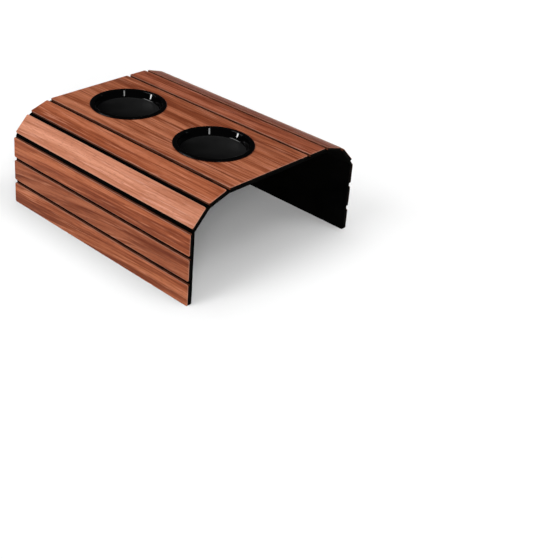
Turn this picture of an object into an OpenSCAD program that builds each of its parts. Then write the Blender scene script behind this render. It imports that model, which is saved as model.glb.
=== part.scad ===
// Sofa arm tray: a roll-up mat of wooden slats on a flexible backing sheet,
// draped over a sofa arm, with two cup holders let into its wide deck slat.
// X runs across the arm, Y along the slats and Z up. The origin is on the
// ground, under the middle of the draped mat. Millimetres throughout.

/* [Mat] */
// Length of the mat along the sofa arm
mat_l = 300; // [270:5:360]
// Thickness of the flexible backing sheet
backing_t = 3; // [2:0.25:3.5]

/* [Slats] */
// Width of a narrow slat
slat_w = 25.5; // [18:0.5:32]
// Thickness of every slat
slat_t = 3; // [2.5:0.25:5]
// Gap between neighbouring slats, measured along the backing
slat_gap = 4.3; // [4:0.1:6]
// Radius of the slats' corners, seen from above
corner_r = 2; // [0.5:0.25:4]
// Radius that eases the slats' upper edges
ease_r = 0.5; // [0.2:0.1:1]

/* [Drape] */
// Slope of the shoulder slat, in degrees below level
shoulder_slope = 17; // [12:1:24]
// Slope of the knee slat under it, in degrees below level
knee_slope = 46; // [40:1:52]
// Number of upright slats in each leg
leg_slats = 3; // [2:1:4]
// Number of level slats between the deck and the right shoulder
level_slats = 1; // [0:1:2]

/* [Deck] */
// Width of the wide slat that carries the cup holders
deck_w = 121; // [105:1:150]

/* [Cup holders] */
// Outer diameter of a cup holder's rim
rim_d = 92; // [84:1:100]
// Width of the rim, from its outer edge to the wall of the well
rim_w = 5.5; // [4:0.5:7]
// Height of the rim above the deck
rim_t = 1.8; // [1.4:0.1:2.6]
// Depth of the well, from the top of the rim to its floor
well_depth = 9; // [7:0.5:20]
// Lean of the well's wall, in degrees from upright
well_draft = 18; // [0:1:22]
// Thickness of the well's wall and floor
well_wall = 1.6; // [1.2:0.1:2.2]
// Radius between the well's wall and floor, inside
well_fillet = 3; // [1:0.5:4]
// Radius at the well's mouth
mouth_r = 0.8; // [0.4:0.1:1]
// Clearance all round between a cup holder and its hole
hole_clear = 0.4; // [0.2:0.1:0.8]
// Distance between the centres of the two cup holders
cup_spacing = 143; // [110:1:155]
// Shift of the pair of cup holders towards the rear end
cup_shift = 6.5; // [0:0.5:15]

/* [Hidden] */
$fn = 96;
cut = 1;
bend_steps = 8;
left_slopes = concat([shoulder_slope, knee_slope], [for (i = [1 : leg_slats]) 90]);
right_slopes = concat([for (i = [1 : 1 : level_slats]) 0], left_slopes);

// A side starts at the deck's edge, with its glue line level: x outwards, y upwards.
// The gap over slat i is an arc where the slope turns from a to b, and straight elsewhere.
function above(slopes, i) = i == 0 ? 0 : slopes[i - 1];
function into_gap(a, b, slope) =
    a == b ? slat_gap * [cos(a), -sin(a)]
           : slat_gap * 180 / (PI * (b - a)) * [sin(slope) - sin(a), cos(slope) - cos(a)];
function gap_start(slopes, i) =
    i == 0 ? [0, 0] : slat_start(slopes, i - 1) + slat_w * [cos(slopes[i - 1]), -sin(slopes[i - 1])];
function slat_start(slopes, i) =
    gap_start(slopes, i) + into_gap(above(slopes, i), slopes[i], slopes[i]);

// Outline of the sheet at a depth under the glue line, from the first bend to the foot
function sheet_face(slopes, depth) = concat(
    [for (i = [0 : len(slopes) - 1]) let (a = above(slopes, i), b = slopes[i]) if (a != b)
        for (k = [0 : bend_steps]) let (slope = a + (b - a) * k / bend_steps)
            gap_start(slopes, i) + into_gap(a, b, slope) - depth * [sin(slope), cos(slope)]],
    [gap_start(slopes, len(slopes)) - depth * [1, 0]]
);
function on_right(points) = [for (p = points) [deck_w / 2 + p[0], p[1]]];
function on_left(points) = [for (p = points) [-deck_w / 2 - p[0], p[1]]];
function backwards(points) = [for (i = [len(points) - 1 : -1 : 0]) points[i]];

left_foot = gap_start(left_slopes, len(left_slopes));
right_foot = gap_start(right_slopes, len(right_slopes));
glue_z = -left_foot[1];
deck_x = (left_foot[0] - right_foot[0]) / 2;
total_w = left_foot[0] + deck_w + right_foot[0] + 2 * slat_t;
cup_y = [cup_shift - cup_spacing / 2, cup_shift + cup_spacing / 2];
well_floor = rim_t - well_depth;
skin_w = well_wall / cos(well_draft);
hole_r = wall_r(0) + skin_w + hole_clear;

// Distance of the well's wall from its axis, at a height above the deck
function wall_r(height) = rim_d / 2 - rim_w - (rim_t - height) * tan(well_draft);

// A rectangle with all four corners rounded, centred on the origin
module rounded_plan(w, l, r) {
    square([w - 2 * r, l], center = true);
    square([w, l - 2 * r], center = true);
    for (x = [-1, 1], y = [-1, 1]) translate([x * (w / 2 - r), y * (l / 2 - r)]) circle(r);
}

// Section of a slat that is w wide, with its two upper edges eased
module eased_section(w) {
    translate([-w / 2, 0]) square([w, slat_t - ease_r]);
    translate([ease_r - w / 2, 0]) square([w - 2 * ease_r, slat_t]);
    for (x = [-1, 1]) translate([x * (w / 2 - ease_r), slat_t - ease_r]) circle(ease_r);
}

// A level slat whose glued face is centred on the origin
module slat_blank(w) {
    intersection() {
        rotate([90, 0, 0]) linear_extrude(mat_l, center = true) eased_section(w);
        rotate([90, 0, 90]) linear_extrude(w, center = true) eased_section(mat_l);
        linear_extrude(slat_t) rounded_plan(w, mat_l, corner_r);
    }
}

// Puts what is drawn for the right-hand side on the side named by hand, -1 or 1
module on_side(hand) {
    translate([deck_x, 0, glue_z]) mirror([hand < 0 ? 1 : 0, 0, 0]) translate([deck_w / 2, 0, 0]) children();
}

module side_slat(hand, slopes, i) {
    start = slat_start(slopes, i);
    color("sienna") on_side(hand)
        translate([start[0], 0, start[1]]) rotate([0, slopes[i], 0]) translate([slat_w / 2, 0, 0])
            slat_blank(slat_w);
}

module cup_places() {
    for (y = cup_y) translate([deck_x, y, glue_z]) children();
}

module deck_slat() {
    color("sienna") difference() {
        translate([deck_x, 0, glue_z]) slat_blank(deck_w);
        cup_places() translate([0, 0, -cut]) cylinder(slat_t + 2 * cut, r = hole_r);
    }
}

module sheet_section() {
    polygon(concat(
        on_right(sheet_face(right_slopes, 0)),
        backwards(on_right(sheet_face(right_slopes, backing_t))),
        on_left(sheet_face(left_slopes, backing_t)),
        backwards(on_left(sheet_face(left_slopes, 0)))
    ));
}

// One sheet that follows every fold, with rounded feet and two holes
module backing_sheet() {
    color("black") difference() {
        intersection() {
            translate([deck_x, 0, glue_z]) rotate([90, 0, 0]) linear_extrude(mat_l, center = true)
                sheet_section();
            translate([0, 0, glue_z]) rotate([90, 0, 90]) linear_extrude(total_w, center = true)
                rounded_plan(mat_l, 2 * glue_z, corner_r);
        }
        cup_places() translate([0, 0, -backing_t - cut]) cylinder(backing_t + 2 * cut, r = hole_r);
    }
}

// Right half of a flat-bottomed well that is w wide at its top. Its lower corner is rounded by r
module well_half(w, floor, top, r) {
    centre = [w - (top - floor - r) * tan(well_draft) - r / cos(well_draft), floor + r];
    leaves_wall = centre + r * [cos(well_draft), -sin(well_draft)];
    polygon([[0, floor], [centre[0], floor], leaves_wall, [w, top], [0, top]]);
    translate(centre) circle(r);
}

// What the well's rounded mouth cuts from the rim
module mouth_cut() {
    centre = [wall_r(rim_t - mouth_r) + mouth_r / cos(well_draft), rim_t - mouth_r];
    meets_wall = centre + mouth_r * [-cos(well_draft), sin(well_draft)];
    difference() {
        polygon([centre, meets_wall, [meets_wall[0], rim_t + cut], [centre[0], rim_t + cut]]);
        translate(centre) circle(mouth_r);
    }
}

// Right half of the cup holder's section, with the deck's surface at y = 0
module cup_half() {
    difference() {
        union() {
            well_half(wall_r(rim_t / 2) + skin_w, well_floor - well_wall, rim_t / 2, well_fillet + well_wall);
            square([rim_d / 2 - rim_t / 2, rim_t]);
            translate([rim_d / 2 - rim_t / 2, rim_t / 2]) circle(rim_t / 2);
        }
        well_half(wall_r(rim_t + cut), well_floor, rim_t + cut, well_fillet);
        mouth_cut();
    }
}

module cup_holder(y) {
    color("black") translate([deck_x, y, glue_z + slat_t]) rotate_extrude() cup_half();
}

backing_sheet();
deck_slat();
for (i = [1 : len(left_slopes)])
    side_slat(-1, left_slopes, i - 1);
for (i = [1 : len(right_slopes)])
    side_slat(1, right_slopes, i - 1);
cup_holder(cup_y[0]);  // front_cup_holder
cup_holder(cup_y[1]);  // rear_cup_holder
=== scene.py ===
"""Looks of a slatted sofa arm tray: boards, backing sheet, cup holders and studio."""
import logging
import math
import random
from collections.abc import Sequence
from dataclasses import dataclass, field
from enum import Enum

import bmesh
import bpy
from mathutils import Matrix, Vector
from mathutils.geometry import interpolate_bezier


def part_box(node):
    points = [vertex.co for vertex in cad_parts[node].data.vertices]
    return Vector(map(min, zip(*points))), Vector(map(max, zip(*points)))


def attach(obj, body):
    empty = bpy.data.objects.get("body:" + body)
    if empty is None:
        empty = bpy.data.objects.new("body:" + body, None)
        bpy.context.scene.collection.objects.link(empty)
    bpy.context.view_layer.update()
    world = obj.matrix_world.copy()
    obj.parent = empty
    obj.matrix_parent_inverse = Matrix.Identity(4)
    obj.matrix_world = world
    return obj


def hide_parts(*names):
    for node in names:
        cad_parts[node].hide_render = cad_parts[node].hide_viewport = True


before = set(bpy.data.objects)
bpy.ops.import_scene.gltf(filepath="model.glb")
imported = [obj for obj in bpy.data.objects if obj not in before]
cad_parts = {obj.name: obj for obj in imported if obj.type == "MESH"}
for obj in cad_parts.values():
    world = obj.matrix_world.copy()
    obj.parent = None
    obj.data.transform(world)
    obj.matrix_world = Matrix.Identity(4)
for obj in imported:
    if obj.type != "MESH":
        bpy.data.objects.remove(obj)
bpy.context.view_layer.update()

LOG = logging.getLogger("sofa_arm_tray")
BODY = "root"
MM = 0.001
ALONG = Vector((0.0, 1.0, 0.0))

Pair = tuple[float, float]
Triple = tuple[float, float, float]
Colour = tuple[float, float, float, float]
Socket = bpy.types.NodeSocket
Value = Socket | float | Colour | Triple
Ring = list[bmesh.types.BMVert]


class Side(Enum):
    """A side of the deck, with the word that its boards' names start with."""

    LEFT = "left"
    RIGHT = "right"


class Slot(Enum):
    """Names of the record's material slots, which this script gives to no piece."""

    WOOD = "slat_wood"
    BACKING = "backing"
    PLASTIC = "cup_plastic"


class Face(Enum):
    """Which of a board's finishes a face takes, as its material index."""

    SHOW = 0
    CUT = 1
    END = 2


class CupFace(Enum):
    """Which of a cup holder's finishes a face takes, as its material index."""

    GLOSS = 0
    SATIN = 1


class Recipe:
    """A node material while it is being put together."""

    def __init__(self, name: str) -> None:
        """Starts an empty material.

        Args:
            name: Name of the material.
        """
        self.material = bpy.data.materials.new(name)
        self.material.use_nodes = True
        self.tree = self.material.node_tree
        self.tree.nodes.clear()
        self.output = self.node("OutputMaterial")

    def node(self, kind: str, **settings: str) -> bpy.types.Node:
        """Adds a shader node.

        Args:
            kind: Blender's name of the node, without ShaderNode.
            settings: The node's own settings by name.

        Returns:
            The new node.
        """
        made = self.tree.nodes.new("ShaderNode" + kind)
        for key, value in settings.items():
            setattr(made, key, value)
        return made

    def give(self, socket: Socket, value: Value) -> None:
        """Sets an input to a plain value, or links it to another node's output.

        Args:
            socket: The input.
            value: A number, a colour, a vector or an output.
        """
        if isinstance(value, Socket):
            self.tree.links.new(value, socket)
        else:
            socket.default_value = value

    def feed(self, node: bpy.types.Node, values: Sequence[Value]) -> Socket:
        """Fills a node's first inputs.

        Args:
            node: The node.
            values: What goes into its inputs, in their order.

        Returns:
            The node's first output.
        """
        for socket, value in zip(node.inputs, values):
            self.give(socket, value)
        return node.outputs[0]

    def sum(self, operation: str, *values: Value) -> Socket:
        """One step of arithmetic, by Blender's name of the operation."""
        return self.feed(self.node("Math", operation=operation), values)

    def vector(self, operation: str, *values: Value) -> Socket:
        """One step of vector arithmetic, by Blender's name of the operation."""
        return self.feed(self.node("VectorMath", operation=operation), values)

    def join(self, *parts: Value) -> Socket:
        """Puts up to three numbers together as a vector, X first."""
        return self.feed(self.node("CombineXYZ"), parts)

    def parts(self, vector: Value) -> Sequence[Socket]:
        """Takes a vector apart.

        Args:
            vector: The vector.

        Returns:
            The sockets of its X, Y and Z.
        """
        made = self.node("SeparateXYZ")
        self.give(made.inputs[0], vector)
        return list(made.outputs)

    def attribute(self, name: str, part: str) -> Socket:
        """A value that the mesh carries: Fac is its number, Vector its vector."""
        return self.node("Attribute", attribute_name=name).outputs[part]

    def noise(self, place: Value, size: Triple, detail: float = 2.0, roughness: float = 0.5) -> Socket:
        """Soft noise with patches of a stated size.

        Args:
            place: The point, in metres.
            size: Size of a patch along X, Y and Z, in metres.
            detail: How many finer layers are added.
            roughness: How strong the finer layers are.

        Returns:
            A number about 0.5.
        """
        scaled = self.vector("DIVIDE", place, size)
        made = self.node("TexNoise")
        self.give(made.inputs["Vector"], scaled)
        made.inputs["Scale"].default_value = 1.0
        made.inputs["Detail"].default_value = detail
        made.inputs["Roughness"].default_value = roughness
        return made.outputs["Fac"]

    def between(self, value: Value, low: float, high: float) -> Socket:
        """Smooth step from 0 at low to 1 at high.

        Args:
            value: The number to test.
            low: Where the result leaves 0.
            high: Where the result reaches 1.

        Returns:
            The step's socket.
        """
        made = self.node("MapRange", interpolation_type="SMOOTHSTEP")
        self.give(made.inputs["Value"], value)
        made.inputs["From Min"].default_value = low
        made.inputs["From Max"].default_value = high
        return made.outputs["Result"]

    def spread(self, value: Value, low: float, high: float) -> Socket:
        """Straight scale of a number about 0.5 to a range.

        Args:
            value: A number, mostly from 0.25 to 0.75.
            low: Result at 0.25.
            high: Result at 0.75.

        Returns:
            The result's socket.
        """
        made = self.node("MapRange")
        self.give(made.inputs["Value"], value)
        made.inputs["From Min"].default_value = 0.25
        made.inputs["From Max"].default_value = 0.75
        made.inputs["To Min"].default_value = low
        made.inputs["To Max"].default_value = high
        return made.outputs["Result"]

    def mix(self, amount: Value, one: Value, other: Value, way: str = "MIX") -> Socket:
        """Mixes two colours.

        Args:
            amount: Share of the other colour.
            one: The first colour.
            other: The other colour.
            way: Blender's name of the blend.

        Returns:
            The colour's socket.
        """
        made = self.node("Mix", data_type="RGBA", blend_type=way)
        self.give(made.inputs["Factor"], amount)
        # The sockets for colours come after those for numbers and vectors
        self.give(made.inputs[6], one)
        self.give(made.inputs[7], other)
        return made.outputs[2]

    def ramp(self, value: Value, stops: Sequence[float], colours: Sequence[Colour]) -> Socket:
        """Runs a number through a row of colours.

        Args:
            value: The number.
            stops: Where each colour is reached, lowest first.
            colours: The colours.

        Returns:
            The colour's socket.
        """
        made = self.node("ValToRGB")
        row = made.color_ramp.elements
        while len(row) < len(stops):
            row.new(1.0)
        for element, place, colour in zip(row, stops, colours):
            element.position = place
            element.color = colour
        self.give(made.inputs["Fac"], value)
        return made.outputs["Color"]

    def bump(self, height: Value, depth: float, strength: float = 0.3) -> Socket:
        """Turns a height into a surface normal.

        Args:
            height: The height, from 0 to 1.
            depth: Depth of the relief, in metres.
            strength: How much of it shows.

        Returns:
            The normal's socket.
        """
        made = self.node("Bump")
        made.inputs["Strength"].default_value = strength
        made.inputs["Distance"].default_value = depth
        self.give(made.inputs["Height"], height)
        return made.outputs["Normal"]

    def finish(
        self,
        colour: Value,
        roughness: Value,
        specular: float,
        normal: Socket | None = None,
    ) -> bpy.types.Material:
        """Closes the material with its surface shader.

        Args:
            colour: Base colour.
            roughness: Roughness of the surface.
            specular: Strength of the mirror reflection, 0.5 for plain plastic.
            normal: Surface normal from a relief.

        Returns:
            The finished material.
        """
        shader = self.node("BsdfPrincipled")
        self.give(shader.inputs["Base Color"], colour)
        self.give(shader.inputs["Roughness"], roughness)
        shader.inputs["Specular IOR Level"].default_value = specular
        if normal is not None:
            self.give(shader.inputs["Normal"], normal)
        self.tree.links.new(shader.outputs[0], self.output.inputs["Surface"])
        return self.material


@dataclass(frozen=True)
class Growth:
    """How a board was cut from its log, and the one dark band it may show.

    The heart is the log's middle: how far it lies beside and under the board's own middle,
    and how much deeper it lies for each metre along the board. The band has a place across
    the board, half a width and a strength. The tone multiplies the wood's colour: a tone
    that differs from board to board, and on the board that slopes towards the left lamps also a
    painted sheen. The contrast scales the grain, and is lowered where that painted sheen flattens it.
    """

    heart: Triple = (-30.0 * MM, 20.0 * MM, 0.02)
    band: Triple = (0.0, 4.0 * MM, 0.0)
    tone: Triple = (1.0, 1.0, 1.0)
    contrast: float = 1.0


@dataclass(frozen=True)
class GrainMarks:
    """Fine marks of another colour in the grain, where a noise passes from low to high."""

    patch: Triple
    low: float
    high: float
    share: float
    detail: float = 2.0

    def where(self, mix: Recipe, place: Value) -> Socket:
        """Tells the marks from the wood: 1 on a mark and 0 beside it."""
        return mix.between(mix.noise(place, self.patch, self.detail), self.low, self.high)

    def amount(self, mix: Recipe, place: Value, contrast: Value) -> Socket:
        """Share of the marks' colour at a point, on a board of some contrast."""
        return mix.sum("MULTIPLY", self.where(mix, place), mix.sum("MULTIPLY", contrast, self.share))


@dataclass(frozen=True)
class WoodFinish:
    """Satin reddish-brown wood face with grain along the board's own Y.

    A patch of grain has its size across the rings or the board, its size along the board,
    and a number by which it differs from board to board. An edge wobble's third number is a size.
    """

    deep: Colour = (0.170, 0.036, 0.0135, 1.0)
    brown: Colour = (0.255, 0.063, 0.025, 1.0)
    red: Colour = (0.345, 0.098, 0.044, 1.0)
    amber: Colour = (0.450, 0.145, 0.070, 1.0)
    pale: Colour = (0.620, 0.250, 0.150, 1.0)
    pore: Colour = (0.090, 0.022, 0.010, 1.0)
    edge_highlight_and_wear: Colour = (0.430, 0.260, 0.200, 1.0)
    stops: Sequence[float] = (0.41, 0.47, 0.52, 0.60)
    specular: float = 0.08
    roughness: Pair = (0.50, 0.38)
    relief: float = 0.12 * MM
    mean_grain: float = 0.51
    band_patch: Triple = (8.0 * MM, 350.0 * MM, 1.0)
    band_share: float = 0.42
    streak_patch: Triple = (2.3 * MM, 120.0 * MM, 0.37)
    streak_share: float = 0.40
    fibre_patch: Triple = (0.8 * MM, 30.0 * MM, 0.53)
    fibre_share: float = 0.18
    dark_lines: GrainMarks = GrainMarks((1.7 * MM, 85.0 * MM, 0.71), 0.56, 0.68, 0.60)
    pale_lines: GrainMarks = GrainMarks((1.5 * MM, 55.0 * MM, 0.29), 0.57, 0.70, 0.50)
    pores: GrainMarks = GrainMarks((0.45 * MM, 8.0 * MM, 0.41), 0.60, 0.68, 0.40, detail=1.0)
    pore_depth: float = 0.6
    sway_patch: Triple = (30.0 * MM, 190.0 * MM, 1.0)
    sway: float = 11.0 * MM
    ragged_patch: Triple = (2.5 * MM, 70.0 * MM, 1.0)
    raggedness: float = 10.0 * MM
    band_fade: Pair = (1.0, 0.2)
    edge_wobble_patch: Triple = (2.0 * MM, 9.0 * MM, 2.0 * MM)
    edge_wobble: float = 0.8 * MM
    edge_highlight_band: Pair = (1.2 * MM, 0.6 * MM)
    edge_highlight_share: float = 0.40

    def material(self) -> bpy.types.Material:
        """Mixes the wood from growth bands, streaks, fibres, pores and a paler edge, which is wear and a
        painted highlight.

        Returns:
            The material, which reads how each board was cut, its shift, tone and half size.
        """
        mix = Recipe("slat_wood_face")
        local = mix.node("TexCoord").outputs["Object"]
        across, plain_along, _ = mix.parts(local)
        luck, far_along, _ = mix.parts(mix.attribute("grain_shift", "Vector"))
        along = mix.sum("ADD", plain_along, far_along)
        straight = mix.join(across, along, luck)
        ringed = mix.join(self.rings(mix, across, plain_along, straight), along, luck)
        contrast = mix.attribute("contrast", "Fac")

        bands = mix.noise(ringed, self.band_patch, detail=1.0)
        streaks = mix.noise(ringed, self.streak_patch, detail=3.0, roughness=0.6)
        fibres = mix.noise(straight, self.fibre_patch)
        grain = mix.sum("MULTIPLY", bands, self.band_share)
        for layer, share in ((streaks, self.streak_share), (fibres, self.fibre_share)):
            grain = mix.sum("ADD", grain, mix.sum("MULTIPLY", layer, share))
        grain = mix.sum("MULTIPLY", mix.sum("SUBTRACT", grain, self.mean_grain), contrast)
        grain = mix.sum("ADD", grain, self.mean_grain)
        colour = mix.ramp(grain, self.stops, (self.deep, self.brown, self.red, self.amber))
        colour = mix.mix(self.dark_lines.amount(mix, ringed, contrast), colour, self.deep)
        colour = mix.mix(self.pale_lines.amount(mix, ringed, contrast), colour, self.pale)
        colour = mix.mix(self.dark_band(mix, across, along), colour, self.deep)
        pores = self.pores.where(mix, straight)
        colour = mix.mix(mix.sum("MULTIPLY", pores, self.pores.share), colour, self.pore)

        colour = mix.mix(1.0, colour, mix.attribute("tone", "Vector"), "MULTIPLY")
        # The paler edge colour is a painted highlight, where the eased edge catches the light, and wear.
        worn = mix.sum("MULTIPLY", self.rim(mix, local), self.edge_highlight_share)
        colour = mix.mix(worn, colour, self.edge_highlight_and_wear)
        roughness = mix.spread(streaks, *self.roughness)
        height = mix.sum("SUBTRACT", fibres, mix.sum("MULTIPLY", pores, self.pore_depth))
        return mix.finish(colour, roughness, self.specular, mix.bump(height, self.relief))

    def rings(self, mix: Recipe, across: Value, along: Value, straight: Value) -> Socket:
        """Distance of a point from the heart of the log, with a little sway.

        Args:
            mix: The material in the making.
            across: Place across the board.
            along: Place along the board, without its shift.
            straight: The point with the board's shift and number.

        Returns:
            The distance, in metres.
        """
        sway = mix.sum("SUBTRACT", mix.noise(straight, self.sway_patch), 0.5)
        swayed = mix.sum("ADD", across, mix.sum("MULTIPLY", sway, self.sway))
        heart_beside, heart_under, lean = mix.parts(mix.attribute("heart", "Vector"))
        beside = mix.sum("SUBTRACT", swayed, heart_beside)
        under = mix.sum("ADD", heart_under, mix.sum("MULTIPLY", lean, along))
        squares = [mix.sum("POWER", leg, 2.0) for leg in (beside, under)]
        return mix.sum("SQRT", mix.sum("ADD", *squares))

    def dark_band(self, mix: Recipe, across: Value, along: Value) -> Socket:
        """Share of the board's one dark band.

        Args:
            mix: The material in the making.
            across: Place across the board.
            along: Place along the board, with its shift.

        Returns:
            A number that is 0 away from the band.
        """
        place, reach, strength = mix.parts(mix.attribute("band", "Vector"))
        ragged = mix.noise(mix.join(across, along, 0.0), self.ragged_patch, detail=3.0)
        ragged = mix.sum("MULTIPLY", mix.sum("SUBTRACT", ragged, 0.5), self.raggedness)
        away = mix.sum("ABSOLUTE", mix.sum("SUBTRACT", mix.sum("ADD", across, ragged), place))
        share = mix.between(mix.sum("DIVIDE", away, reach), *self.band_fade)
        return mix.sum("MULTIPLY", share, strength)

    def rim(self, mix: Recipe, local: Value) -> Socket:
        """How near a point is to the board's edge.

        Args:
            mix: The material in the making.
            local: The point in the board's own axes.

        Returns:
            A number that is 1 at the edge and 0 a millimetre inside it.
        """
        left = mix.vector("SUBTRACT", mix.attribute("half_size", "Vector"), mix.vector("ABSOLUTE", local))
        beside, before, _ = mix.parts(left)
        wobble = mix.sum("MULTIPLY", mix.noise(local, self.edge_wobble_patch, detail=3.0), self.edge_wobble)
        nearest = mix.sum("ADD", mix.sum("MINIMUM", beside, before), wobble)
        return mix.between(nearest, *self.edge_highlight_band)


@dataclass(frozen=True)
class CutEdgeFinish:
    """Edge of a board, scorched by the cut."""

    name: str
    soot: Colour = (0.030, 0.0095, 0.0050, 1.0)
    brown: Colour = (0.115, 0.032, 0.0145, 1.0)
    stops: Pair = (0.35, 0.65)
    specular: float = 0.1
    soot_patch: Triple = (6.0 * MM, 14.0 * MM, 2.0 * MM)
    fibre_patch: Triple = (0.8 * MM, 0.8 * MM, 0.4 * MM)
    roughness: Pair = (0.7, 0.9)
    relief: float = 0.1 * MM

    def material(self) -> bpy.types.Material:
        """Mixes the scorched edge.

        Returns:
            The material.
        """
        mix = Recipe(self.name)
        local = mix.node("TexCoord").outputs["Object"]
        patches = mix.noise(local, self.soot_patch, detail=3.0)
        colour = mix.ramp(patches, self.stops, (self.soot, self.brown))
        fibre = mix.noise(local, self.fibre_patch)
        relief = mix.bump(fibre, self.relief)
        return mix.finish(colour, mix.spread(fibre, *self.roughness), self.specular, relief)


@dataclass(frozen=True)
class SheetFinish:
    """Matt black flexible sheet with a fine pebbled face."""

    deep: Colour = (0.0006, 0.0006, 0.0005, 1.0)
    worn: Colour = (0.0015, 0.0014, 0.0013, 1.0)
    stops: Pair = (0.35, 0.68)
    specular: float = 0.015
    cloud_patch: Triple = (35.0 * MM, 50.0 * MM, 35.0 * MM)
    pebbles_a_metre: float = 900.0
    roughness: Pair = (0.92, 0.78)
    relief: float = 0.12 * MM
    relief_strength: float = 0.4

    def material(self) -> bpy.types.Material:
        """Mixes the sheet's face.

        Returns:
            The material.
        """
        mix = Recipe("backing_sheet_face")
        local = mix.node("TexCoord").outputs["Object"]
        clouds = mix.noise(local, self.cloud_patch, detail=3.0)
        colour = mix.ramp(clouds, self.stops, (self.deep, self.worn))
        pebbles = mix.node("TexVoronoi")
        mix.give(pebbles.inputs["Vector"], local)
        pebbles.inputs["Scale"].default_value = self.pebbles_a_metre
        relief = mix.bump(pebbles.outputs["Distance"], self.relief, self.relief_strength)
        return mix.finish(colour, mix.spread(clouds, *self.roughness), self.specular, relief)


@dataclass(frozen=True)
class PlasticFinish:
    """Moulded black plastic, from gloss to satin, with a trace of dust.

    Patchy is how strongly the dust gathers in clouds. The painted_shade_drift is how much lighter
    the plastic gets for each metre across the tray: painted shade on the left of a well's floor and
    painted light on its right.
    """

    name: str
    colour: Colour = (0.0008, 0.0008, 0.0009, 1.0)
    dusty_and_lit: Colour = (0.0014, 0.0014, 0.0015, 1.0)
    stops: Pair = (0.30, 0.70)
    roughness: Pair = (0.04, 0.07)
    specular: float = 0.35
    relief: float = 0.02 * MM
    cloud_patch: Triple = (18.0 * MM, 18.0 * MM, 18.0 * MM)
    fine_patch: Triple = (0.5 * MM, 0.5 * MM, 0.5 * MM)
    patchy: float = 1.0
    painted_shade_drift: float = 0.0

    def material(self) -> bpy.types.Material:
        """Mixes the plastic.

        Returns:
            The material.
        """
        mix = Recipe(self.name)
        local = mix.node("TexCoord").outputs["Object"]
        clouds = mix.noise(local, self.cloud_patch, detail=3.0)
        dust_and_shade = mix.sum("MULTIPLY", mix.sum("SUBTRACT", clouds, 0.5), self.patchy)
        # The drift across the tray adds painted shade on the left and painted light on the right to the
        # dust.
        dust_and_shade = mix.sum("ADD", dust_and_shade, mix.sum("MULTIPLY", mix.parts(local)[0], self.painted_shade_drift))
        colour = mix.ramp(mix.sum("ADD", dust_and_shade, 0.5), self.stops, (self.colour, self.dusty_and_lit))
        relief = mix.bump(mix.noise(local, self.fine_patch, detail=1.0), self.relief)
        return mix.finish(colour, mix.spread(clouds, *self.roughness), self.specular, relief)


@dataclass(frozen=True)
class Place:
    """Where a board lies: its own axes in the frame, and its size in them."""

    matrix: Matrix
    width: float
    length: float
    thickness: float

    @classmethod
    def of_node(cls, name: str) -> "Place":
        """Reads a board's place from its solid.

        Args:
            name: Name of the solid.

        Returns:
            Its place: X across, Y along and Z out of the glued face's middle.
        """
        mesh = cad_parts[name].data
        outward = cls._outward(mesh)
        across = ALONG.cross(outward)
        axes = Matrix((across, ALONG, outward))
        local = [axes @ vertex.co for vertex in mesh.vertices]
        low = Vector(tuple(min(point[i] for point in local) for i in range(3)))
        high = Vector(tuple(max(point[i] for point in local) for i in range(3)))
        foot = Vector(((low.x + high.x) / 2, (low.y + high.y) / 2, low.z))
        turn = axes.transposed()
        size = high - low
        return cls(Matrix.Translation(turn @ foot) @ turn.to_4x4(), size.x, size.y, size.z)

    @staticmethod
    def _outward(mesh: bpy.types.Mesh) -> Vector:
        """Direction of a board's show face.

        Args:
            mesh: The board's solid.

        Returns:
            The unit normal of its broad face, pointing out of the tray.
        """
        weights: dict[tuple[float, ...], float] = {}
        for face in mesh.polygons:
            # Rounding puts the triangles of one flat face together
            key = tuple(round(part, 2) for part in face.normal)
            weights[key] = weights.get(key, 0.0) + face.area
        broad = Vector(max(weights, key=weights.get))
        facing = [face for face in mesh.polygons if face.normal.dot(broad) > 0.99]
        normal = sum((face.normal * face.area for face in facing), Vector()).normalized()
        middle = sum((vertex.co for vertex in mesh.vertices), Vector()) / len(mesh.vertices)
        return normal if normal.dot(middle - Vector((0.0, middle.y, 0.0))) > 0 else -normal

    def end(self, sign: int) -> Vector:
        """Middle of one long edge of the glued face, before (-1) or after (1) the board."""
        return self.matrix @ Vector((sign * self.width / 2, 0.0, 0.0))

    @property
    def across(self) -> Vector:
        """Unit vector across the board, from the left foot towards the right one."""
        return self.matrix.to_3x3() @ Vector((1.0, 0.0, 0.0))

    @property
    def outward(self) -> Vector:
        """Unit vector out of the show face."""
        return self.matrix.to_3x3() @ Vector((0.0, 0.0, 1.0))


def round_steps(steps: int) -> list[Pair]:
    """Cosines and sines of as many equal steps round a circle."""
    return [(math.cos(math.tau * k / steps), math.sin(math.tau * k / steps)) for k in range(steps)]


def quarter_turn(steps: int) -> list[float]:
    """Angles from nothing to a right angle, in equal steps."""
    return [math.pi / 2 * k / steps for k in range(steps + 1)]


def join_rings(shape: bmesh.types.BMesh, lower: Ring, upper: Ring, index: int = 0) -> None:
    """Joins two rings of as many points with a band of faces.

    Args:
        shape: The shape in the making.
        lower: The first ring.
        upper: The ring over or after it.
        index: Material index of the faces.
    """
    for i, _ in enumerate(lower):
        after = (i + 1) % len(lower)
        made = shape.faces.new((lower[i], lower[after], upper[after], upper[i]))
        made.material_index = index


def mesh_of(name: str, shape: bmesh.types.BMesh) -> bpy.types.Mesh:
    """Turns a finished shape into a mesh.

    Args:
        name: Name of the mesh.
        shape: The shape, which is freed.

    Returns:
        The mesh.
    """
    mesh = bpy.data.meshes.new(name)
    shape.to_mesh(mesh)
    shape.free()
    return mesh


def smooth(mesh: bpy.types.Mesh, crease: float) -> None:
    """Shades a mesh smooth, apart from edges that turn by more than the crease."""
    mesh.shade_smooth()
    mesh.set_sharp_from_angle(angle=crease)


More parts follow.
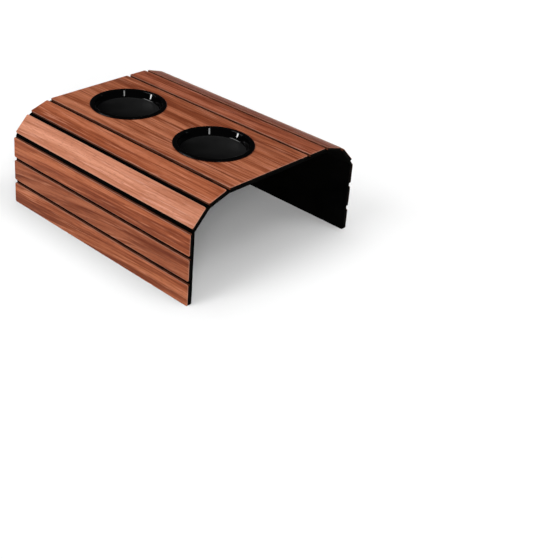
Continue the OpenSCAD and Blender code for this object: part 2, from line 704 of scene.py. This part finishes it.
def put(name: str, data: bpy.types.ID) -> bpy.types.Object:
    """Puts a mesh, a lamp or a camera in the scene.

    Args:
        name: Name of the object.
        data: What the object shows.

    Returns:
        The object.
    """
    made = bpy.data.objects.new(name, data)
    bpy.context.scene.collection.objects.link(made)
    return made


def carry(mesh: bpy.types.Mesh, name: str, vector: Sequence[float]) -> None:
    """Stores one vector of three numbers on all points of a mesh."""
    layer = mesh.attributes.new(name, "FLOAT_VECTOR", "POINT")
    layer.data.foreach_set("vector", list(vector) * len(mesh.vertices))


def piece_of(
    name: str,
    mesh: bpy.types.Mesh,
    finishes: Sequence[bpy.types.Material],
    matrix: Matrix | None = None,
) -> bpy.types.Object:
    """Puts a mesh in the scene in the place of the solid of the same name.

    Args:
        name: Name of the solid, which the piece is named after.
        mesh: The piece's mesh, in its own axes.
        finishes: Materials by index.
        matrix: The piece's own axes in the frame.

    Returns:
        The piece, riding on the tray's one body.
    """
    piece = put(name + "_piece", mesh)
    piece.matrix_world = matrix or Matrix.Identity(4)
    for finish in finishes:
        mesh.materials.append(finish)
    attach(piece, BODY)
    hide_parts(name)
    LOG.info("%s: %d faces", piece.name, len(mesh.polygons))
    return piece


@dataclass
class Board:
    """A wooden slat with rounded corners, eased upper edges and round holes.

    A hole has an X, a Y and a radius, in the board's own axes.
    """

    name: str
    place: Place
    growth: Growth = Growth()
    seed: int = 0
    holes: Sequence[Triple] = ()
    corner_r: float = 2.0 * MM
    ease_r: float = 0.5 * MM
    corner_steps: int = 8
    ease_steps: int = 4
    hole_steps: int = 96
    crease: float = math.radians(35.0)
    end_angle: float = math.radians(45.0)

    def outline(self, inset: float) -> list[Vector]:
        """Outline of the board seen from above, its corners rounded.

        Args:
            inset: How far inside the true outline it runs.

        Returns:
            The points, anticlockwise.
        """
        radius = self.corner_r - inset
        points = []
        half_w = self.place.width / 2 - self.corner_r
        half_l = self.place.length / 2 - self.corner_r
        for quarter, (x, y) in enumerate([(1, 1), (-1, 1), (-1, -1), (1, -1)]):
            centre = Vector((x * half_w, y * half_l))
            for step in range(self.corner_steps + 1):
                angle = math.pi / 2 * (quarter + step / self.corner_steps)
                points.append(centre + radius * Vector((math.cos(angle), math.sin(angle))))
        return points

    def layers(self) -> list[Pair]:
        """Rings that the board's outline is drawn at, from the bottom up.

        Returns:
            Heights over the glued face, and the insets there.
        """
        layers = [(0.0, 0.0)]
        for angle in quarter_turn(self.ease_steps):
            height = self.place.thickness - self.ease_r * (1 - math.sin(angle))
            layers.append((height, self.ease_r * (1 - math.cos(angle))))
        return layers

    def mesh(self) -> bpy.types.Mesh:
        """Builds the board in its own axes.

        Returns:
            The mesh, with its show face and its cut edges marked.
        """
        shape = bmesh.new()
        rings = [
            [shape.verts.new((*point, height)) for point in self.outline(inset)]
            for height, inset in self.layers()
        ]
        for lower, upper in zip(rings, rings[1:]):
            join_rings(shape, lower, upper, (Face.CUT if lower is rings[0] else Face.SHOW).value)
        lows, highs = [rings[0]], [rings[-1]]
        for x, y, radius in self.holes:
            circle = [(x + radius * c, y + radius * s) for c, s in round_steps(self.hole_steps)]
            lows.append([shape.verts.new((*point, 0.0)) for point in circle])
            highs.append([shape.verts.new((*point, self.place.thickness)) for point in circle])
            join_rings(shape, highs[-1], lows[-1], Face.CUT.value)
        self._cap(shape, lows, Face.CUT)
        self._cap(shape, highs, Face.SHOW)
        bmesh.ops.recalc_face_normals(shape, faces=shape.faces)
        for face in shape.faces:
            if face.material_index == Face.CUT.value and self._at_end(face):
                face.material_index = Face.END.value
        mesh = mesh_of(self.name, shape)
        smooth(mesh, self.crease)
        return mesh

    def _at_end(self, face: bmesh.types.BMFace) -> bool:
        """Whether a face looks along the board at one of its two ends, and isn't in a hole."""
        beyond = abs(face.calc_center_median().y) > self.place.length / 2 - self.corner_r
        return beyond and abs(face.normal.y) > math.cos(self.end_angle)

    @staticmethod
    def _cap(shape: bmesh.types.BMesh, loops: Sequence[Ring], face: Face) -> None:
        """Closes a flat face with holes.

        Args:
            shape: The shape in the making.
            loops: The outline, and then the holes.
            face: Which finish the cap takes.
        """
        edges = [
            shape.edges.get((loop[i], loop[(i + 1) % len(loop)]))
            for loop in loops
            for i, _ in enumerate(loop)
        ]
        made = bmesh.ops.triangle_fill(shape, use_beauty=True, edges=edges, normal=(0, 0, 1))
        for item in made["geom"]:
            if isinstance(item, bmesh.types.BMFace):
                item.material_index = face.value

    def build(self, finishes: Sequence[bpy.types.Material]) -> bpy.types.Object:
        """Builds and dresses the board.

        Args:
            finishes: Finishes of its show face, its cut edges and its ends.

        Returns:
            The piece.
        """
        mesh = self.mesh()
        luck = random.Random(self.seed)
        carried = {
            "grain_shift": [luck.uniform(0, 3) for _ in range(3)],
            "half_size": (self.place.width / 2, self.place.length / 2, 0.0),
            "tone": self.growth.tone,
            "heart": self.growth.heart,
            "band": self.growth.band,
            "contrast": (self.growth.contrast,) * 3,
        }
        for name, vector in carried.items():
            carry(mesh, name, vector)
        piece = piece_of(self.name, mesh, finishes, self.place.matrix)
        # The wood's red doesn't spill on the floor and the sheet
        piece.visible_diffuse = False
        return piece


@dataclass
class BackingSheet:
    """The flexible sheet that follows every fold under the boards.

    A hole has an X, a Y and a radius, in the frame.
    """

    places: Sequence[Place]
    holes: Sequence[Triple]
    name: str = "backing_sheet"
    thickness: float = 3.0 * MM
    corner_r: float = 2.0 * MM
    edge_r: float = 0.35 * MM
    edge_steps: int = 3
    edge_angle: float = math.radians(50.0)
    bend_steps: int = 10
    foot_steps: int = 6
    hole_steps: int = 96
    crease: float = math.radians(35.0)

    def section(self) -> list[tuple[Vector, Vector]]:
        """The glued face's line from the left foot to the right one.

        Returns:
            Points and the outward normals there.
        """
        line = []
        for here, there in zip(self.places, self.places[1:]):
            start, stop = here.end(1), there.end(-1)
            reach = (stop - start).length / 3
            bend = interpolate_bezier(
                start, start + here.across * reach, stop - there.across * reach, stop, self.bend_steps + 1
            )
            for step, point in enumerate(bend):
                share = step / self.bend_steps
                line.append((point, here.outward.slerp(there.outward, share)))
        first, last = self.places[0], self.places[-1]
        left, right = first.end(-1), last.end(1)
        climb = [self.corner_r * (1 - math.cos(angle)) for angle in quarter_turn(self.foot_steps)]
        rise = [(left + first.across * height, first.outward) for height in climb]
        fall = [(right - last.across * height, last.outward) for height in reversed(climb)]
        return [*rise, *line, *fall]

    def half_length(self, height: float) -> float:
        """Half of the sheet's length at a height over the ground, less its rounded corner."""
        under = min(max(self.corner_r - height, 0.0), self.corner_r)
        return self.places[0].length / 2 - self.corner_r + math.sqrt(self.corner_r**2 - under**2)

    def mesh(self) -> bpy.types.Mesh:
        """Builds the sheet in the frame's axes.

        Returns:
            The mesh, without its holes.
        """
        shape = bmesh.new()
        rings = []
        for point, outward in self.section():
            reach = ALONG * self.half_length(point.z)
            inner = point - outward * self.thickness
            corners = (point - reach, point + reach, inner + reach, inner - reach)
            rings.append([shape.verts.new(corner) for corner in corners])
        for before, after in zip(rings, rings[1:]):
            join_rings(shape, before, after)
        shape.faces.new(rings[0])
        shape.faces.new(reversed(rings[-1]))
        bmesh.ops.recalc_face_normals(shape, faces=shape.faces)
        return mesh_of(self.name, shape)

    def cutter(self) -> bpy.types.Object:
        """Rods that cut the round holes, as tall as the boards are long.

        Returns:
            The rods as one object, which is deleted after use.
        """
        shape = bmesh.new()
        for x, y, radius in self.holes:
            bmesh.ops.create_cone(
                shape,
                cap_ends=True,
                segments=self.hole_steps,
                radius1=radius,
                radius2=radius,
                depth=self.places[0].length,
                matrix=Matrix.Translation((x, y, 0.0)),
            )
        return put("hole_rods", mesh_of("hole_rods", shape))

    def build(self, finish: bpy.types.Material) -> bpy.types.Object:
        """Builds, cuts and dresses the sheet.

        Args:
            finish: Finish of the sheet.

        Returns:
            The piece.
        """
        draft = put("sheet_draft", self.mesh())
        rods = self.cutter()
        cut = draft.modifiers.new("holes", "BOOLEAN")
        cut.object = rods
        cut.solver = "EXACT"
        edge = draft.modifiers.new("edges", "BEVEL")
        edge.width = self.edge_r
        edge.segments = self.edge_steps
        edge.limit_method = "ANGLE"
        edge.angle_limit = self.edge_angle
        bpy.context.view_layer.update()
        ready = draft.evaluated_get(bpy.context.evaluated_depsgraph_get())
        mesh = bpy.data.meshes.new_from_object(ready)
        mesh.name = self.name
        for scrap in (draft, rods):
            bpy.data.objects.remove(scrap)
        smooth(mesh, self.crease)
        return piece_of(self.name, mesh, (finish,))


@dataclass
class CupHolder:
    """A shallow moulded well whose rim lies on the deck."""

    name: str
    rim_w: float = 5.5 * MM
    rim_t: float = 1.8 * MM
    well_depth: float = 9.0 * MM
    draft: float = math.radians(18.0)
    wall: float = 1.6 * MM
    fillet: float = 3.0 * MM
    mouth_r: float = 0.8 * MM
    clearance: float = 0.4 * MM
    turns: int = 160
    arc_steps: int = 8
    hold: float = 0.1 * MM
    crease: float = math.radians(50.0)
    centre: Vector = field(init=False)
    rim_r: float = field(init=False)

    def __post_init__(self) -> None:
        """Reads the holder's middle and its rim from its solid."""
        low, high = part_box(self.name)
        self.rim_r = (high.x - low.x) / 2
        self.centre = Vector(((low.x + high.x) / 2, (low.y + high.y) / 2, high.z - self.rim_t))

    def wall_r(self, height: float) -> float:
        """Distance of the well's leaning wall from the axis, at a height over the deck."""
        return self.rim_r - self.rim_w - (self.rim_t - height) * math.tan(self.draft)

    @property
    def body_r(self) -> float:
        """Radius of the well's outside at the deck's face."""
        return self.wall_r(0.0) + self.wall / math.cos(self.draft)

    @property
    def hole_r(self) -> float:
        """Radius of the holes that the well hangs in."""
        return self.body_r + self.clearance

    @property
    def floor(self) -> float:
        """Height of the well's floor over the deck."""
        return self.rim_t - self.well_depth

    def arc(self, x: float, z: float, radius: float, start: float, stop: float) -> list[Pair]:
        """Points of a round stretch of the section, its angles in radians."""
        angles = [start + (stop - start) * k / self.arc_steps for k in range(self.arc_steps + 1)]
        return [(x + radius * math.cos(a), z + radius * math.sin(a)) for a in angles]

    def section(self) -> list[Pair]:
        """Half of the holder's section, which is turned round its axis.

        Points that lie the hold away from an arc keep the faces beside it flat to the eye.

        Returns:
            Radii and heights, from the middle of the floor round to the middle underneath.
        """
        half, quarter = self.rim_t / 2, math.pi / 2
        corner = self.floor + self.fillet
        corner_x = self.wall_r(corner) - self.fillet / math.cos(self.draft)
        mouth = self.rim_t - self.mouth_r
        mouth_x = self.wall_r(mouth) + self.mouth_r / math.cos(self.draft)
        low = corner - self.fillet * math.sin(self.draft) + self.hold
        high = mouth + self.mouth_r * math.sin(self.draft) - self.hold
        return [
            (0.0, self.floor),
            (corner_x - self.hold, self.floor),
            *self.arc(corner_x, corner, self.fillet, -quarter, -self.draft),
            (self.wall_r(low), low),
            (self.wall_r(high), high),
            *self.arc(mouth_x, mouth, self.mouth_r, math.pi - self.draft, quarter),
            *self.arc(self.rim_r - half, half, half, quarter, -quarter),
            (self.body_r, 0.0),
            *self.arc(corner_x, corner, self.fillet + self.wall, -self.draft, -quarter),
            (0.0, self.floor - self.wall),
        ]

    def mesh(self) -> bpy.types.Mesh:
        """Turns the section round the holder's axis.

        Returns:
            The mesh, with its floor and half of the fillet round it marked as satin.
        """
        shape = bmesh.new()
        rings = []
        for radius, height in self.section():
            steps = round_steps(self.turns) if radius > 0.0 else [(0.0, 0.0)]
            rings.append([shape.verts.new((radius * c, radius * s, height)) for c, s in steps])
        last_satin = self.arc_steps // 2 + 1
        for step, (inner, outer) in enumerate(zip(rings, rings[1:])):
            finish = CupFace.SATIN if step <= last_satin else CupFace.GLOSS
            for i in range(self.turns):
                after = (i + 1) % self.turns
                pairs = ((inner, i), (outer, i), (outer, after), (inner, after))
                # A ring on the axis is one point, so its faces are triangles
                corners = dict.fromkeys(ring[k % len(ring)] for ring, k in pairs)
                made = shape.faces.new(list(corners))
                made.material_index = finish.value
        bmesh.ops.recalc_face_normals(shape, faces=shape.faces)
        mesh = mesh_of(self.name, shape)
        smooth(mesh, self.crease)
        return mesh

    def build(self, gloss: bpy.types.Material, satin: bpy.types.Material) -> bpy.types.Object:
        """Builds the holder, with a gloss rim and walls and a satin floor."""
        place = Matrix.Translation(self.centre)
        return piece_of(self.name, self.mesh(), (gloss, satin), place)


@dataclass
class SlatMat:
    """All the boards, the sheet under them and the two cup holders."""

    growths: dict[str, Growth] = field(default_factory=lambda: {
        "left_slat_5": Growth((-34.0 * MM, 26.0 * MM, 0.07), tone=(0.98, 0.96, 0.87), contrast=1.1),
        "left_slat_4": Growth((-26.0 * MM, 26.0 * MM, 0.11), tone=(0.79, 0.75, 0.68)),
        "left_slat_3": Growth((-24.0 * MM, 14.0 * MM, 0.05), tone=(0.98, 0.92, 0.80)),
        # The knee board's paler, whiter tone and low contrast are painted sheen and light from the lamps
        # on its left, on top of a paler wood.
        "left_slat_2": Growth((-30.0 * MM, 12.0 * MM, 0.03), tone=(1.49, 2.11, 2.76), contrast=0.5),
        "left_slat_1": Growth((-40.0 * MM, 16.0 * MM, 0.02), tone=(1.14, 1.22, 1.27), contrast=0.8),
        "deck_slat": Growth(
            (-110.0 * MM, 20.0 * MM, 0.05),
            band=(37.0 * MM, 5.0 * MM, 0.7),
            tone=(1.03, 1.11, 1.17),
            contrast=1.15,
        ),
        "right_slat_1": Growth((-34.0 * MM, 12.0 * MM, 0.04), tone=(0.93, 0.95, 1.08), contrast=1.2),
        "right_slat_2": Growth((-40.0 * MM, 12.0 * MM, 0.04), tone=(0.74, 0.70, 0.70)),
    })

    def boards_of(self, side: Side) -> list[str]:
        """Names of a side's narrow boards, from the deck outwards."""
        return sorted(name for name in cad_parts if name.startswith(side.value + "_slat_"))

    @staticmethod
    def board_finishes() -> list[bpy.types.Material]:
        """Mixes the finishes of the boards.

        Returns:
            Those of the show face, of the cut edges and of the ends.
        """
        end = CutEdgeFinish(
            "slat_end",
            soot=(0.0010, 0.0008, 0.0007, 1.0),
            brown=(0.0036, 0.0026, 0.0020, 1.0),
            specular=0.03,
        )
        return [WoodFinish().material(), CutEdgeFinish("slat_cut_edge").material(), end.material()]

    @staticmethod
    def cup_finishes() -> list[bpy.types.Material]:
        """Mixes the finishes of the cup holders.

        Returns:
            That of the rim and walls, and that of the floor and half of its fillet.
        """
        floor = PlasticFinish(
            "cup_floor_satin",
            colour=(0.0026, 0.0026, 0.0027, 1.0),
            dusty_and_lit=(0.0112, 0.0112, 0.0113, 1.0),
            roughness=(0.30, 0.42),
            specular=0.1,
            patchy=0.35,
            # Lighter towards the right of the floor: painted shade from the well's left wall.
            painted_shade_drift=8.0,
        )
        return [PlasticFinish("cup_gloss").material(), floor.material()]

    def build(self) -> None:
        """Builds and dresses every piece of the mat."""
        cups = [CupHolder(name) for name in ("front_cup_holder", "rear_cup_holder")]
        order = [*reversed(self.boards_of(Side.LEFT)), "deck_slat", *self.boards_of(Side.RIGHT)]
        places = {name: Place.of_node(name) for name in order}
        deck = places["deck_slat"].matrix.inverted()
        finishes = self.board_finishes()
        for seed, name in enumerate(order):
            holes = [(*(deck @ cup.centre).xy, cup.hole_r) for cup in cups] if name == "deck_slat" else []
            Board(name, places[name], self.growths.get(name, Growth()), seed, holes).build(finishes)
        holes = [(*cup.centre.xy, cup.hole_r) for cup in cups]
        BackingSheet([places[name] for name in order], holes).build(SheetFinish().material())
        gloss, satin = self.cup_finishes()
        for cup in cups:
            cup.build(gloss, satin)


@dataclass(frozen=True)
class Sun:
    """A lamp that is far away and doesn't show in glossy faces. Its width is in degrees."""

    name: str
    towards: Triple
    strength: float
    width: float = 28.0

    def hang(self) -> None:
        """Hangs the lamp where it shines on the tray."""
        data = bpy.data.lights.new(self.name, "SUN")
        data.energy = self.strength
        data.angle = math.radians(self.width)
        lamp = put(self.name, data)
        lamp.rotation_mode = "QUATERNION"
        lamp.rotation_quaternion = Vector(self.towards).to_track_quat("Z", "Y")
        lamp.visible_glossy = False


@dataclass(frozen=True)
class Strip:
    """A small softbox that stands upright, and shows in glossy faces only."""

    name: str
    place: Triple
    size: Pair
    radiance: float

    def hang(self) -> None:
        """Stands the softbox in its place, turned to the tray."""
        data = bpy.data.lights.new(self.name, "AREA")
        data.shape = "RECTANGLE"
        data.size, data.size_y = self.size
        data.energy = self.radiance * math.pi * math.prod(self.size)
        lamp = put(self.name, data)
        lamp.location = self.place
        lamp.rotation_mode = "QUATERNION"
        lamp.rotation_quaternion = Vector((*self.place[:2], 0.0)).to_track_quat("Z", "Y")
        lamp.visible_camera = False
        lamp.visible_diffuse = False


@dataclass
class Studio:
    """Floor, backdrop, lamps, world and camera."""

    azimuth: float = -44.27
    elevation: float = 25.26
    roll: float = 2.38
    lens: float = 70.03
    shift: Pair = (0.1856, -0.2329)
    spot: Triple = (-0.8047, -0.8164, 0.6263)
    room_r: float = 6.0
    wall_h: float = 0.3
    gloom: float = 0.01
    lamps: Sequence[Sun | Strip] = (
        Sun("front_left_lamp", (-0.583, -0.694, 0.423), 1.72),
        Sun("left_lamp", (-0.754, 0.133, 0.643), 1.00),
        Sun("front_right_lamp", (0.196, -0.539, 0.819), 0.51),
        Sun("overhead_lamp", (0.0, 0.0, 1.0), 1.46, width=70.0),
        Strip("camera_side_strip", (-0.441, -0.788, 0.335), (0.065, 0.20), 9.0),
        Strip("far_left_strip", (-4.11, 2.79, 0.54), (0.44, 0.44), 24.0),
        Strip("rear_left_panel", (-1.02, 0.92, 1.44), (1.2, 0.8), 5.0),
    )
    white: Colour = (0.97, 0.97, 0.97, 1.0)
    floor_glow: float = 0.03

    def camera(self) -> None:
        """Stands the camera where the photograph was taken from."""
        azimuth, elevation, roll = (math.radians(a) for a in (self.azimuth, self.elevation, self.roll))
        level_r = math.cos(elevation)
        back = Vector((math.sin(azimuth) * level_r, -math.cos(azimuth) * level_r, math.sin(elevation)))
        right = Vector((math.cos(azimuth), math.sin(azimuth), 0.0))
        up = back.cross(right)
        turned = Matrix((right, up, back)).transposed() @ Matrix.Rotation(roll, 3, "Z")
        data = bpy.data.cameras.new("camera")
        data.lens = self.lens
        data.sensor_fit = "HORIZONTAL"
        data.shift_x, data.shift_y = self.shift
        data.clip_start, data.clip_end = 0.05, 50.0
        camera = put("camera", data)
        camera.matrix_world = Matrix.Translation(self.spot) @ turned.to_4x4()
        bpy.context.scene.camera = camera

    def stage(self) -> None:
        """Makes the white floor and the ring-shaped backdrop at its edge."""
        floor = self._ring("floor", [(self.room_r, 0.0)])
        floor.data.materials.append(self._floor_finish())
        backdrop = self._ring("backdrop", [(self.room_r, 0.0), (self.room_r, self.wall_h)])
        backdrop.data.materials.append(self._glow())
        backdrop.visible_diffuse = False
        backdrop.visible_shadow = False

    def _floor_finish(self) -> bpy.types.Material:
        """Matt white floor that the camera sees a trace brighter, so that it ends in plain white.

        Returns:
            The material.
        """
        mix = Recipe("floor_white")
        made = mix.finish(self.white, 1.0, 0.0)
        shader = mix.tree.nodes["Principled BSDF"]
        shader.inputs["Emission Color"].default_value = (1.0, 1.0, 1.0, 1.0)
        seen = mix.sum("MULTIPLY", mix.node("LightPath").outputs["Is Camera Ray"], self.floor_glow)
        mix.give(shader.inputs["Emission Strength"], seen)
        return made

    @staticmethod
    def _glow() -> bpy.types.Material:
        """Backdrop that is white to the camera and in reflections, and lights nothing else.

        Returns:
            The material.
        """
        mix = Recipe("backdrop_white")
        path = mix.node("LightPath")
        seen = mix.sum("MAXIMUM", path.outputs["Is Camera Ray"], path.outputs["Is Glossy Ray"])
        seen = mix.sum("MAXIMUM", seen, path.outputs["Is Transmission Ray"])
        glow = mix.node("Emission")
        mix.give(glow.inputs["Strength"], seen)
        mix.give(mix.output.inputs["Surface"], glow.outputs[0])
        return mix.material

    @staticmethod
    def _ring(name: str, section: Sequence[Pair], steps: int = 96) -> bpy.types.Object:
        """Turns a line round the Z axis, or makes a disc of its one point.

        Args:
            name: Name of the object.
            section: Radii and heights of the line's points.
            steps: Sides of the ring.

        Returns:
            The object.
        """
        shape = bmesh.new()
        rings = [
            [shape.verts.new((radius * c, radius * s, height)) for c, s in round_steps(steps)]
            for radius, height in section
        ]
        if len(rings) == 1:
            shape.faces.new(rings[0])
        for lower, upper in zip(rings, rings[1:]):
            join_rings(shape, lower, upper)
        return put(name, mesh_of(name, shape))

    def lights(self) -> None:
        """Hangs the lamps and sets the world."""
        for lamp in self.lamps:
            lamp.hang()
        self._world()
        bpy.context.scene.view_settings.view_transform = "Standard"

    def _world(self) -> None:
        """A dim room, which the camera sees as white."""
        world = bpy.data.worlds.new("studio")
        world.use_nodes = True
        tree = world.node_tree
        path = tree.nodes.new("ShaderNodeLightPath")
        seen = tree.nodes.new("ShaderNodeMath")
        seen.operation = "MAXIMUM"
        seen.inputs[1].default_value = self.gloom
        tree.links.new(path.outputs["Is Camera Ray"], seen.inputs[0])
        tree.links.new(seen.outputs[0], tree.nodes["Background"].inputs["Strength"])
        tree.nodes["Background"].inputs["Color"].default_value = (1.0, 1.0, 1.0, 1.0)
        bpy.context.scene.world = world

    def build(self) -> None:
        """Sets up the whole studio."""
        self.camera()
        self.stage()
        self.lights()


def main() -> None:
    """Builds the tray and its studio."""
    logging.basicConfig(level=logging.INFO, format="%(message)s")
    Studio().build()
    SlatMat().build()


if __name__ == "__main__":
    main()
